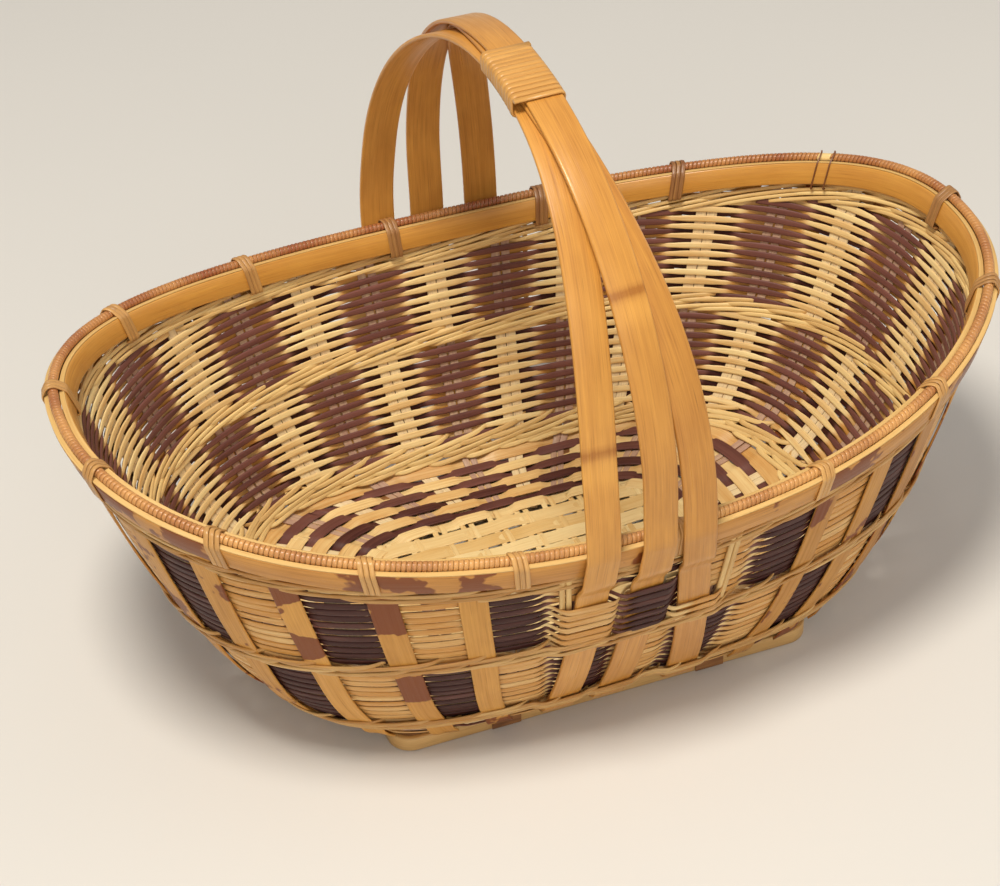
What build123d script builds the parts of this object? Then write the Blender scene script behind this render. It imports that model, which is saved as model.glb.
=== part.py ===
from build123d import *
import math
import os

os.makedirs("parts", exist_ok=True)

# X runs along the basket, Y across it, Z up. The table is at Z = 0 and the origin is under the middle.

# foot: a bent bamboo strip on edge, its lining strip, corner pegs and flat ties of split cane
foot_length = 222.0
foot_width = 185.6
foot_height = 8.0
foot_strip = 3.0
foot_corner = 12.0
liner_strip = 1.6
liner_lift = 1.2
peg_diameter = 5.0
tie_width = 15.0
tie_thickness = 0.8
tie_spread = 108.0
tie_lift = 0.6

# mat: long splints over cross stakes, inside the dish of the floor
mat_inset_end = 29.0
mat_inset_side = 42.8
mat_sag = 0.6
splint_width = 9.0
splint_space = 1.2
splint_thickness = 1.5
cross_stake_width = 5.0
cross_stake_space = 10.0
cross_stake_thickness = 1.2

# wall: how far each ring stands out beyond the ring below it, and how much higher it lies
base_out_end = 41.0
base_out_side = 10.7
base_rise = 12.5
middle_out_end = 43.0
middle_out_side = 24.5
middle_rise = 56.0
rim_out_end = 35.0
rim_out_side = 16.7
rim_up = 65.6
rim_end_rise = 32.0
rim_rise_late = 0.24

# roundness of the rings: 2 is an ellipse, more is nearer to a rectangle
mat_fullness = 5.0
foot_fullness = 7.0
base_fullness = 3.4
middle_fullness = 2.45
rim_fullness = 2.2

# weave, twined bands and upright stakes
wall_thickness = 4.0
floor_thickness = 2.6
base_band_height = 8.0
middle_band_height = 10.0
top_band_height = 9.0
stake_width = 14.0
stake_thickness = 1.2
stake_pairs = 16
thin_stake_width = 4.2
thin_stake_thickness = 1.0
thin_stake_spread = 0.18

# rim: a wound core in the groove between two flat hoops, bound with lashings
hoop_height = 12.2
hoop_thickness = 3.0
core_diameter = 3.2
winding_thickness = 0.9
rim_seat = 0.5
lashing_count = 16
lashing_width = 8.0
lashing_thickness = 0.8

# handle: three straps gathered at the top and bound there, wider at the far side, which was the root end
strap_width = 16.0
strap_root_width = 18.5
strap_thickness = 2.2
handle_height = 173.8
arch_fullness_near = 2.22
arch_fullness_far = 2.12
arch_lean = 15.0
lean_power = 3.0
gather_power = 2.1
near_feet = (-25.8, 0.9, 20.2)
near_ends = (-31.0, -5.0, 33.0)
far_feet = (-30.0, -2.2, 28.2)
far_ends = (-34.0, -3.0, 34.0)
gathered = (-14.2, -10.3, -11.6)
stack_order = (-1, 1, 0)
stack_from = 8.0
stack_by = 52.0
lift_gap = 4.0
lift_run = 12.0
binding_cane = 2.8
binding_gap = 0.5
binding_turns = 12
binding_place = 0.475
binding_bend = 3.1
binding_slack = 0.6

# clearances
fit = 0.3
touch = 0.15
lie_gap = 0.5
inner_gap = 0.9
slope_gap = 1.0

# where things stand round the wall, as a share of the way round from the +X end towards +Y
stake_places = ((0, 0.025), (6, 0.4175), (9, 0.592), (10, 0.6645), (11, 0.7245), (16, 1.025))
lashing_places = (
    (0, 0.0067),
    (2, 0.1396),
    (3, 0.2021),
    (4, 0.2718),
    (6, 0.4109),
    (7, 0.48),
    (11, 0.6983),
    (16, 1.0067),
)

# fineness of the solids: sections round the wall, sides of the rim core, the width up to which a strip is
# flat across, and steps up a strip and over the arch
section_count = 64
core_sides = 8
narrow_strip = 6.0
weave_step = 14.5
strap_step = 12.0
arch_steps = 36

# the rings, each as half length, half width, roundness and height, from the mat's edge up to the rim
foot_z = foot_height + tie_thickness + 2 * touch
mat_z = foot_z - mat_sag
base_z = foot_z + base_rise
middle_z = base_z + middle_rise
rim_low_z = middle_z + rim_up
foot_half = (foot_length / 2, foot_width / 2)
base_half = (foot_half[0] + base_out_end, foot_half[1] + base_out_side)
middle_half = (base_half[0] + middle_out_end, base_half[1] + middle_out_side)
rim_half = (middle_half[0] + rim_out_end, middle_half[1] + rim_out_side)
rings = (
    (foot_half[0] - mat_inset_end, foot_half[1] - mat_inset_side, mat_fullness, mat_z),
    (foot_half[0], foot_half[1], foot_fullness, foot_z),
    (base_half[0], base_half[1], base_fullness, base_z),
    (middle_half[0], middle_half[1], middle_fullness, middle_z),
    (rim_half[0], rim_half[1], rim_fullness, rim_low_z),
)

# heights measured from the centre of the rim core, and distances from the middle of the wall
half_wall = wall_thickness / 2
wound_radius = core_diameter / 2 + winding_thickness
hoop_top = rim_seat - wound_radius
hoop_bottom = hoop_top - hoop_height
band_top = -wound_radius - fit
band_bottom = hoop_bottom - top_band_height
hoop_inner = half_wall + fit
hoop_outer = hoop_inner + hoop_thickness
lashing_outer = hoop_outer + lie_gap + lashing_thickness
middle_low = middle_z - middle_band_height / 2
middle_high = middle_z + middle_band_height / 2
lower_start = base_z + base_band_height + touch
lower_count = math.ceil((middle_low - touch - lower_start) / weave_step)
lower_step = (middle_low - touch - lower_start) / lower_count
lower_levels = [lower_start + lower_step * i for i in range(lower_count + 1)]


def rim_z(x):
    """Height of the centre of the rim core, which rises towards both ends."""
    u = x / rim_half[0]
    return rim_low_z + rim_end_rise * ((1 - rim_rise_late) * u**2 + rim_rise_late * u**4)


def oval_point(ring, angle):
    half_length, half_width, fullness, z = ring
    c = math.cos(angle)
    s = math.sin(angle)
    x = half_length * math.copysign(abs(c) ** (2 / fullness), c)
    y = half_width * math.copysign(abs(s) ** (2 / fullness), s)
    return (x, y)


def measured_ring(ring, steps=1440):
    """Points of a ring, with the share of its length that lies before each of them."""
    points = [oval_point(ring, 2 * math.pi * i / steps) for i in range(steps + 1)]
    run = [0.0]
    for a, b in zip(points, points[1:]):
        run.append(run[-1] + math.dist(a, b))
    return points, [r / run[-1] for r in run]


measured = [measured_ring(ring) for ring in rings]
rim_run = measured[4][1]
section_shares = [rim_run[i * (len(rim_run) - 1) // section_count] for i in range(section_count)]


def ring_point(index, share):
    """The point of a ring at a share of the way round it."""
    points, run = measured[index]
    share = share % 1.0
    low, high = 0, len(run) - 1
    while high - low > 1:
        middle = (low + high) // 2
        if run[middle] <= share:
            low = middle
        else:
            high = middle
    t = (share - run[low]) / (run[high] - run[low])
    x = points[low][0] + t * (points[high][0] - points[low][0])
    y = points[low][1] + t * (points[high][1] - points[low][1])
    z = rim_z(x) if index == 4 else rings[index][3]
    return (x, y, z)


def joint_slope(h0, h1, d0, d1):
    """Slope of a curve at a point between two spans, such that it never overshoots them."""
    if d0 * d1 <= 0:
        return 0.0
    w0 = 2 * h1 + h0
    w1 = h1 + 2 * h0
    return (w0 + w1) / (w0 / d0 + w1 / d1)


def wall_xy(share, z):
    """The middle of the wall's thickness at one share of the way round and one height."""
    keys = [ring_point(i, share) for i in range(len(rings))]
    steps = [b[2] - a[2] for a, b in zip(keys, keys[1:])]
    place = []
    for axis in (0, 1):
        slopes = [(b[axis] - a[axis]) / h for a, b, h in zip(keys, keys[1:], steps)]
        ends = [slopes[0]]
        for i in range(1, 4):
            ends.append(joint_slope(steps[i - 1], steps[i], slopes[i - 1], slopes[i]))
        ends.append(slopes[3])
        if z >= keys[4][2]:
            place.append(keys[4][axis] + (z - keys[4][2]) * ends[4])
            continue
        i = 0
        while i < 3 and z > keys[i + 1][2]:
            i += 1
        t = (z - keys[i][2]) / steps[i]
        place.append(
            (2 * t**3 - 3 * t**2 + 1) * keys[i][axis]
            + (t**3 - 2 * t**2 + t) * steps[i] * ends[i]
            + (3 * t**2 - 2 * t**3) * keys[i + 1][axis]
            + (t**3 - t**2) * steps[i] * ends[i + 1]
        )
    return tuple(place)


def outward(share, z):
    """Level direction that points squarely out of the wall, and the wall's length for one whole share."""
    step = 0.001
    ax, ay = wall_xy(share - step, z)
    bx, by = wall_xy(share + step, z)
    length = math.dist((ax, ay), (bx, by))
    return (by - ay) / length, -(bx - ax) / length, length / (2 * step)


def wall_point(share, z, out=0.0, up=0.0):
    x, y = wall_xy(share, z)
    nx, ny, length = outward(share, z)
    return Vector(x + nx * out, y + ny * out, z + up)


def share_at(x, near, z):
    """The share of the way round at which a long side has this X."""
    low, high = (0.5, 1.0) if near else (0.5, 0.0)
    for _ in range(40):
        middle = (low + high) / 2
        if wall_xy(middle, z)[0] < x:
            low = middle
        else:
            high = middle
    return (low + high) / 2


def along(places, count):
    """The share of the way round that belongs to a count along a row of uneven places."""
    count = count % places[-1][0]
    for (i, a), (j, b) in zip(places, places[1:]):
        if count <= j:
            return (a + (b - a) * (count - i) / (j - i)) % 1.0
    return places[-1][1] % 1.0


def side_of(share):
    x, y, z = ring_point(4, share)
    if abs(x) > rim_half[0] * 0.72:
        return "right" if x > 0 else "left"
    return "back" if y > 0 else "front"


def levels(low, high, most):
    """Heights from low to high, no further apart than most."""
    count = max(1, math.ceil((high - low) / most))
    return [low + (high - low) * i / count for i in range(count + 1)]


def save(name, *solids):
    shape = solids[0] if len(solids) == 1 else Compound(list(solids))
    export_step(shape, f"parts/{name}.step")


def save_sides(name, sides):
    for side, solids in sides.items():
        save(f"{name}_{side}", *solids)


def skin(rows, closed=True):
    """A solid with flat facets through rows of corners, closed on itself or capped at both ends."""
    faces = []
    rows_on = rows[1:] + rows[:1] if closed else rows[1:]
    for a, b in zip(rows, rows_on):
        for j in range(len(a)):
            k = (j + 1) % len(a)
            faces.append(Face(Wire.make_polygon([a[j], a[k], b[k]], close=True)))
            faces.append(Face(Wire.make_polygon([a[j], b[k], b[j]], close=True)))
    if not closed:
        faces.append(Face(Wire.make_polygon(rows[0], close=True)))
        faces.append(Face(Wire.make_polygon(rows[-1], close=True)))
    return Solid(Shell(faces))


def wall_ring(section):
    """A ring of the wall, from the heights of its section at each share and its two faces."""
    rows = []
    for share in section_shares:
        heights, inner, outer = section(share)
        up = [wall_point(share, z, outer) for z in heights]
        down = [wall_point(share, z, inner) for z in reversed(heights)]
        rows.append(up + down)
    return skin(rows)


def upper_levels(share):
    """Heights of the upper zone of the weave, from the middle band to the band under the rim."""
    low = middle_high + touch
    high = ring_point(4, share)[2] + band_bottom - fit
    return [low + (high - low) * i / 4 for i in range(5)]


def strip_levels(share, low, high):
    """Heights for a strip on the wall, which bends where the wall does."""
    between = lower_levels + upper_levels(share)
    return [low] + [z for z in between if low + 1 < z < high - 1] + [high]


def level_ring(heights):
    return wall_ring(lambda share: (heights, -half_wall, half_wall))


def rim_ring(drops, inner, outer):
    """A ring of the wall whose edges follow the rim at fixed depths below it."""
    return wall_ring(lambda share: ([ring_point(4, share)[2] + drop for drop in drops], inner, outer))


def rounded_ring(length, width, corner, thickness, low, high):
    """A bent strip on edge, as a rounded rectangle."""
    inner_corner = max(corner - thickness, thickness)
    outer = RectangleRounded(length, width, corner)
    inner = RectangleRounded(length - 2 * thickness, width - 2 * thickness, inner_corner)
    return (Pos(0, 0, low) * extrude(outer - inner, amount=high - low)).solid()


def make_foot():
    """The strip that the basket stands on, the strip that lines it, and a peg in each corner."""
    save("foot_frame", rounded_ring(foot_length, foot_width, foot_corner, foot_strip, 0, foot_height))
    inset = foot_strip + touch
    corner = foot_corner - inset
    length = foot_length - 2 * inset
    width = foot_width - 2 * inset
    save("foot_liner", rounded_ring(length, width, corner, liner_strip, liner_lift, foot_height))
    bend = max(corner - liner_strip, liner_strip)
    offset = inset + liner_strip + bend - (bend - peg_diameter / 2 - fit) * math.sqrt(0.5)
    peg = extrude(Circle(peg_diameter / 2), amount=foot_height - liner_lift)
    pegs = []
    for sx in (-1, 1):
        for sy in (-1, 1):
            place = Pos(sx * (foot_length / 2 - offset), sy * (foot_width / 2 - offset), liner_lift)
            pegs.append((place * peg).solid())
    save("foot_pegs", *pegs)


def make_foot_ties():
    """Flat loops of split cane that hold the foot strip and its lining together."""
    inner = foot_width / 2 - foot_strip - liner_strip - 2 * touch
    outer = foot_width / 2 + touch
    low = tie_lift
    high = foot_height + touch + tie_thickness
    middle = (inner + outer) / 2
    block = Box(tie_width, outer - inner + 2 * tie_thickness, high - low)
    hollow = Box(tie_width + 1, outer - inner, 2 * (high - low))
    cut = Pos(0, 0, -(high - low) / 2 - tie_thickness) * hollow
    loop = Pos(0, middle, (low + high) / 2) * (block - cut)
    ties = []
    for turn in (0, 180):
        for x in (-tie_spread / 2, tie_spread / 2):
            ties.append((Rot(0, 0, turn) * Pos(x, 0, 0) * loop).solid())
    save("foot_ties", *ties)


def mat_strips(reach, half_span, count, pitch, width, thickness, low):
    """Parallel strips that end just inside the oval edge of the mat."""
    strips = []
    for i in range(count):
        place = (i - (count - 1) / 2) * pitch
        edge = min((abs(place) + width / 2) / half_span, 0.98)
        half = reach * (1 - edge**mat_fullness) ** (1 / mat_fullness) - fit
        strips.append(Pos(0, place, low + thickness / 2) * Box(2 * half, width, thickness))
    return strips


def make_mat():
    """Long splints that lie on cross stakes, inside the edge of the floor."""
    half_length, half_width = rings[0][0], rings[0][1]
    pitch = splint_width + splint_space
    count = int((2 * half_width - splint_width) // pitch) + 1
    low = mat_z + cross_stake_thickness + touch
    splints = mat_strips(half_length, half_width, count, pitch, splint_width, splint_thickness, low)
    save("base_splints", *[splint.solid() for splint in splints])
    pitch = cross_stake_width + cross_stake_space
    count = int((2 * half_length - cross_stake_width) // pitch) + 1
    size = cross_stake_width, cross_stake_thickness
    stakes = mat_strips(half_width, half_length, count, pitch, size[0], size[1], mat_z)
    save("base_stakes", *[(Rot(0, 0, 90) * stake).solid() for stake in stakes])


def make_floor():
    """The dish that spreads from the mat over the foot to the lowest twined band."""
    under = [mat_z, foot_z] + levels(foot_z, base_z, base_rise / 3)[1:]
    over = [z for z in under if z < base_z - floor_thickness] + [base_z - floor_thickness]
    rows = []
    for share in section_shares:
        bottom = [wall_point(share, z) for z in under]
        top = [wall_point(share, z, 0, floor_thickness) for z in reversed(over)]
        rows.append(bottom + top)
    save("floor_weave", skin(rows))


def make_wall():
    """Two zones of weaving between three twined bands."""
    save("base_band", level_ring([base_z + touch, base_z + base_band_height]))
    save("weave_lower", level_ring(lower_levels))
    save("middle_band", level_ring([middle_low, middle_high]))
    save("weave_upper", wall_ring(lambda share: (upper_levels(share), -half_wall, half_wall)))


def make_rim():
    """The top band between its two hoops, and the wound core in the groove above them."""
    band = rim_ring([band_bottom, hoop_bottom, band_top], -half_wall, half_wall)
    for slot in lashing_slots():
        band -= slot
    save("top_band", band.solid())
    save("rim_outer_hoop", rim_ring([hoop_bottom, hoop_top], hoop_inner, hoop_outer))
    save("rim_inner_hoop", rim_ring([hoop_bottom, hoop_top], -hoop_outer, -hoop_inner))
    save("rim_core", round_ring(core_diameter / 2))
    winding = round_ring(wound_radius) - round_ring(core_diameter / 2 + touch)
    save("rim_winding", winding.solid())


def round_ring(radius):
    """A tube round the rim, centred on the core."""
    rows = []
    for share in section_shares:
        row = []
        for i in range(core_sides):
            angle = 2 * math.pi * (i + 0.5) / core_sides
            height = ring_point(4, share)[2]
            row.append(wall_point(share, height, radius * math.cos(angle), radius * math.sin(angle)))
        rows.append(row)
    return skin(rows)


def lashing_spots():
    return [along(lashing_places, i) for i in range(lashing_count)]


def lashing_plane(share):
    """The plane across the rim at one share: X points out of the wall and Y up."""
    centre = Vector(*ring_point(4, share))
    ahead = Vector(*ring_point(4, share + 0.002)) - Vector(*ring_point(4, share - 0.002))
    nx, ny, length = outward(share, centre.Z)
    return Plane(origin=centre, x_dir=(nx, ny, 0), z_dir=ahead * -1)


def lean(share, depth):
    """How far the wall has moved out at a depth below the core, which is less than nothing."""
    x0, y0, z = ring_point(4, share)
    nx, ny, length = outward(share, z)
    x, y = wall_xy(share, z - depth)
    return (x - x0) * nx + (y - y0) * ny


def lashing_loop(share):
    """One lashing: over the core, down outside both hoops and through the wall under them."""
    crown = wound_radius + lie_gap
    shoulder = hoop_top + lie_gap
    foot = hoop_bottom - lie_gap
    side = hoop_outer + lie_gap
    high = lean(share, -shoulder)
    low = lean(share, -foot)
    hole = Polygon(
        (-wound_radius, crown),
        (wound_radius, crown),
        (side + high, shoulder),
        (side + low, foot),
        (-side + low, foot),
        (-side + high, shoulder),
        align=None,
    )
    ring = offset(hole, lashing_thickness, kind=Kind.INTERSECTION) - hole
    return extrude(lashing_plane(share) * ring, amount=lashing_width / 2, both=True).solid()


def lashing_slots():
    """The slot through the wall that each lashing passes."""
    slots = []
    drop = hoop_bottom - lie_gap - lashing_thickness / 2
    for share in lashing_spots():
        place = lashing_plane(share) * Pos(lean(share, -drop), drop, 0)
        slot = Box(2 * wall_thickness, lashing_thickness + 2 * fit, lashing_width + 2 * fit)
        slots.append(place * slot)
    return slots


def make_lashings():
    """Turns of split cane that bind both hoops and the core."""
    sides = {"front": [], "back": [], "left": [], "right": []}
    for share in lashing_spots():
        sides[side_of(share)].append(lashing_loop(share))
    save_sides("rim_lashings", sides)


def strip(share, width, inner, outer, low, high):
    """A strip that lies on the wall from one height to another."""
    rows = []
    for z in strip_levels(share, low, high):
        nx, ny, length = outward(share, z)
        half = width / 2 / length
        spots = (share - half, share + half) if width < narrow_strip else (share - half, share, share + half)
        row = [wall_point(spot, z, outer) for spot in spots]
        rows.append(row + [wall_point(spot, z, inner) for spot in reversed(spots)])
    return skin(rows, closed=False)


def stake_top(share, width):
    """A stake ends below the hoops and the lashings, also at its lower corner."""
    x, y, z = ring_point(4, share)
    half = width / 2 / outward(share, z)[2]
    rim = min(ring_point(4, share - half)[2], ring_point(4, share + half)[2])
    return rim + hoop_bottom - 2 * lie_gap - lashing_thickness - slope_gap


def strap_x(foot_x, end_x, z):
    """How far along the basket a strap stands at a height on its way down the wall."""
    top = rim_low_z + hoop_top
    return end_x + (foot_x - end_x) * (z - foot_z) / (top - foot_z)


def meets_strap(share, low, high):
    """Whether a wide stake would run into one of the handle's straps."""
    for z in (low, middle_z, high):
        x, y = wall_xy(share, z)
        feet, ends = (near_feet, near_ends) if y < 0 else (far_feet, far_ends)
        room = ((strap_width if y < 0 else strap_root_width) + stake_width) / 2 + lie_gap
        if any(abs(x - strap_x(foot, end, z)) < room for foot, end in zip(feet, ends)):
            return True
    return False


def make_stakes():
    """Wide flat stakes outside the weave. The handle's straps take the place of those beside them."""
    inner = half_wall + lie_gap
    low = base_z + lie_gap
    sides = {"front": [], "back": [], "left": [], "right": []}
    for i in range(2 * stake_pairs):
        share = along(stake_places, i / 2 + 0.25)
        high = stake_top(share, stake_width)
        if meets_strap(share, low, high):
            continue
        stake = strip(share, stake_width, inner, inner + stake_thickness, low, high)
        sides[side_of(share)].append(stake)
    save_sides("stakes", sides)


def make_thin_stakes():
    """Two thin stakes inside the weave, in the middle of each block between wide ones."""
    outer = -half_wall - inner_gap
    low = base_z + floor_thickness
    sides = {"front": [], "back": [], "left": [], "right": []}
    for i in range(2 * stake_pairs):
        for turn in (-thin_stake_spread, thin_stake_spread):
            share = along(stake_places, i / 2 + turn / 4)
            high = stake_top(share, thin_stake_width)
            stake = strip(share, thin_stake_width, outer - thin_stake_thickness, outer, low, high)
            sides[side_of(share)].append(stake)
    save_sides("thin_stakes", sides)


def eased(value, low, high):
    t = min(max((value - low) / (high - low), 0.0), 1.0)
    return t * t * (3 - 2 * t)


def strap_out():
    """Distance of a strap's middle from the wall's middle, where it passes over the rim."""
    return lashing_outer + lie_gap + strap_thickness / 2


def side_run(foot_x, end_x, near):
    """Centre line of a strap down one long side, from the foot up to the rim."""
    sign = -1 if near else 1
    on_wall = half_wall + lie_gap + strap_thickness / 2
    top = rim_low_z + hoop_top
    lift = top - hoop_height - lift_gap
    heights = levels(foot_z + 1, lift - lift_run, strap_step)
    heights += levels(lift - lift_run, lift, lift_run / 3)[1:]
    points = []
    for z in heights + [top]:
        x = strap_x(foot_x, end_x, z)
        out = on_wall + (strap_out() - on_wall) * eased(z, lift - lift_run, lift)
        spot = wall_point(share_at(x, near, z), z, out)
        points.append(Vector(x, spot.Y, z))
    return points


def arch_half_span(index):
    """Half the distance between a strap's two places outside the rim."""
    start = rim_low_z + hoop_top
    return abs(wall_xy(share_at(near_feet[index], True, start), start)[1]) + strap_out()


def arch_point(index, half_span, angle):
    """A spot over the top, before the straps are laid on each other. The angle runs from near to far."""
    near = angle < math.pi / 2
    power = 2 / (arch_fullness_near if near else arch_fullness_far)
    c, s = abs(math.cos(angle)), math.sin(angle)
    y = (-1 if near else 1) * half_span * c**power - arch_lean * s**lean_power
    foot_x = near_feet[index] if near else far_feet[index]
    x = gathered[index] + (foot_x - gathered[index]) * c**gather_power
    return Vector(x, y, rim_low_z + hoop_top + handle_height * s**power)


def arch_run(index):
    """Centre line of a strap over the top, where the three lie on each other."""
    points = []
    half_span = arch_half_span(index)
    step = math.pi / arch_steps
    for i in range(1, arch_steps):
        point = arch_point(index, half_span, step * i)
        run = arch_point(index, half_span, step * (i + 0.5)) - arch_point(index, half_span, step * (i - 0.5))
        rise = point.Z - rim_low_z - hoop_top
        stack = stack_order[index] * (strap_thickness + fit) * eased(rise, stack_from, stack_by)
        points.append(point + Vector(0, -run.Z, run.Y).normalized() * stack)
    return points


def ribbon(points, widths):
    """A flat strap along a line of points, with its width level."""
    rows = []
    last = len(points) - 1
    for i, (point, width) in enumerate(zip(points, widths)):
        run = (points[min(i + 1, last)] - points[max(i - 1, 0)]).normalized()
        across = (Vector(1, 0, 0) - run * run.X).normalized() * (width / 2)
        face = run.cross(across).normalized() * (strap_thickness / 2)
        low, high = point - face, point + face
        rows.append([low - across, low + across, high + across, high - across])
    return skin(rows, closed=False)


def arch_widths():
    """Width of a strap at each spot of its run over the top."""
    growth = strap_root_width - strap_width
    return [strap_width + growth * i / arch_steps for i in range(1, arch_steps)]


def make_handle():
    """Three bamboo straps from foot to foot over the top."""
    for index, name in enumerate(("left", "middle", "right")):
        near = side_run(near_feet[index], near_ends[index], True)
        far = side_run(far_feet[index], far_ends[index], False)
        widths = [strap_width] * len(near) + arch_widths() + [strap_root_width] * len(far)
        save(f"handle_strap_{name}", ribbon(near + arch_run(index) + list(reversed(far)), widths))


def bundle(runs, spot):
    """Low and high X and height of the three straps together, at a spot along the binding."""
    lows, highs = [], []
    for run in runs:
        for a, b, width in zip(run, run[1:], arch_widths()):
            if min(a.Y, b.Y) <= spot <= max(a.Y, b.Y):
                middle = a + (b - a) * ((spot - a.Y) / (b.Y - a.Y))
                lows.append((middle.X - width / 2, middle.Z - strap_thickness / 2))
                highs.append((middle.X + width / 2, middle.Z + strap_thickness / 2))
    return (
        (min(x for x, z in lows), min(z for x, z in lows)),
        (max(x for x, z in highs), max(z for x, z in highs)),
    )


def binding_plane():
    """The plane that touches the arch at the middle of the binding, with Y along the straps."""
    angle = math.pi * binding_place
    small = math.pi / arch_steps
    half_span = arch_half_span(1)
    run = arch_point(1, half_span, angle + small) - arch_point(1, half_span, angle - small)
    middle = arch_point(1, half_span, angle)
    normal = Vector(0, -run.Z, run.Y)
    return Plane(origin=Vector(0, middle.Y, middle.Z), x_dir=Vector(1, 0, 0), z_dir=normal)


def make_binding():
    """One length of fine cane wound round the three straps where they are gathered."""
    place = binding_plane()
    runs = [[place.to_local_coords(point) for point in arch_run(index)] for index in range(3)]
    room = binding_cane / 2 + lie_gap
    pitch = binding_cane + binding_gap
    corners = ((0, 1), (1, 1), (1, 0), (0, 0))
    points = []
    for i in range(4 * binding_turns + 2):
        spot = pitch * (i / 4 - binding_turns / 2)
        near_by = [bundle(runs, spot + turn * pitch / 2) for turn in (-1, 0, 1)]
        low_x = min(low[0] for low, high in near_by) - room
        high_x = max(high[0] for low, high in near_by) + room
        low_z = min(low[1] for low, high in near_by) - room - binding_slack
        high_z = max(high[1] for low, high in near_by) + room + binding_slack
        right, top = corners[i % 4]
        points.append((high_x if right else low_x, spot, high_z if top else low_z))
    path = FilletPolyline(*points, radius=binding_bend).wire()
    section = Plane(origin=path @ 0, z_dir=path % 0) * Circle(binding_cane / 2)
    save("handle_binding", place * sweep(section, path=path).solid())
    print("handle binding, least gap between turns:", round(binding_clearance(path), 2))


def binding_clearance(path):
    """Least gap of the winding to itself, from points along it that are over half a turn apart."""
    count = binding_turns * 60
    spots = [path.position_at(i / count) for i in range(count + 1)]
    near = [(a - b).length for i, a in enumerate(spots) for b in spots[i + 30 : i + 100]]
    return min(near) - binding_cane


make_foot()
make_foot_ties()
make_mat()
make_floor()
make_wall()
make_rim()
make_lashings()
make_stakes()
make_thin_stakes()
make_handle()
make_binding()
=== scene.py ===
import bpy
import math
import numpy as np
from mathutils import Matrix, Vector


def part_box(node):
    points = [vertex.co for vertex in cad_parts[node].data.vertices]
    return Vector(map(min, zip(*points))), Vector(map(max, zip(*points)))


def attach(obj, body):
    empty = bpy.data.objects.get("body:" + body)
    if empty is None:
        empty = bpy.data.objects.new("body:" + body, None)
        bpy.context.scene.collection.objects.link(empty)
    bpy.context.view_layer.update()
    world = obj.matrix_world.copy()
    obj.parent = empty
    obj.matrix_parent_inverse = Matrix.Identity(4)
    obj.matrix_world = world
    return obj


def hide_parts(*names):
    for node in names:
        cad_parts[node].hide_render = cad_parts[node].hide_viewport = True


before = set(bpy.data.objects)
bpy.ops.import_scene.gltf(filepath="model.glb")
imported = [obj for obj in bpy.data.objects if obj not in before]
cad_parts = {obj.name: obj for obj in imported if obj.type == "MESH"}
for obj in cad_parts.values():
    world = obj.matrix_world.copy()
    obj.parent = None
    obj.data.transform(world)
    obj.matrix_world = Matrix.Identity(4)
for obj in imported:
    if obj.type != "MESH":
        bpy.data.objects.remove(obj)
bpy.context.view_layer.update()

# Foot
# A strip of pale bamboo is heated, bent round on edge into a rounded rectangle and lined with a brown strip.
# Split cane ties hold the two together, and a peg stands in each corner. The basket rests on the lower edge.

dice = np.random.default_rng(7)


def colour(code):
    """A colour written as six hex digits, as the linear values that a shader takes."""
    parts = [int(code[i : i + 2], 16) / 255 for i in (0, 2, 4)]
    return [p / 12.92 if p <= 0.04045 else ((p + 0.055) / 1.055) ** 2.4 for p in parts] + [1.0]


class Recipe:
    """A material's nodes, added one by one."""

    def __init__(self, name):
        self.material = bpy.data.materials.new(name)
        self.material.use_nodes = True
        self.tree = self.material.node_tree
        self.shader = self.tree.nodes["Principled BSDF"]

    def node(self, kind, inputs=None, **settings):
        made = self.tree.nodes.new("ShaderNode" + kind)
        for key, value in settings.items():
            setattr(made, key, value)
        for key, value in (inputs or {}).items():
            if isinstance(value, bpy.types.NodeSocket):
                self.tree.links.new(value, made.inputs[key])
            else:
                made.inputs[key].default_value = value
        return made

    def noise(self, along, across, detail=3.0, shift=0.0):
        """Noise in the strip's own run and width, with so many spots to a metre each way."""
        run = self.node("UVMap", uv_map="run").outputs["UV"]
        moved = {"Vector": run, "Scale": (along, across, 1.0), "Location": (shift, shift, shift)}
        place = self.node("Mapping", moved)
        taken = {"Vector": place.outputs["Vector"], "Scale": 1.0, "Detail": detail, "Roughness": 0.6}
        return self.node("TexNoise", taken).outputs["Fac"]

    def math(self, operation, a, b=0.0, clamp=False):
        return self.node("Math", {0: a, 1: b}, operation=operation, use_clamp=clamp).outputs[0]

    def range(self, value, low, high, to_low=0.0, to_high=1.0):
        taken = {"Value": value, "From Min": low, "From Max": high, "To Min": to_low, "To Max": to_high}
        return self.node("MapRange", taken).outputs["Result"]

    def mix(self, factor, a, b, blend="MIX"):
        made = self.node("Mix", {"Factor": factor}, data_type="RGBA", blend_type=blend)
        for key, value in ((6, a), (7, b)):
            if isinstance(value, bpy.types.NodeSocket):
                self.tree.links.new(value, made.inputs[key])
            else:
                made.inputs[key].default_value = value
        return made.outputs[2]


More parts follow.
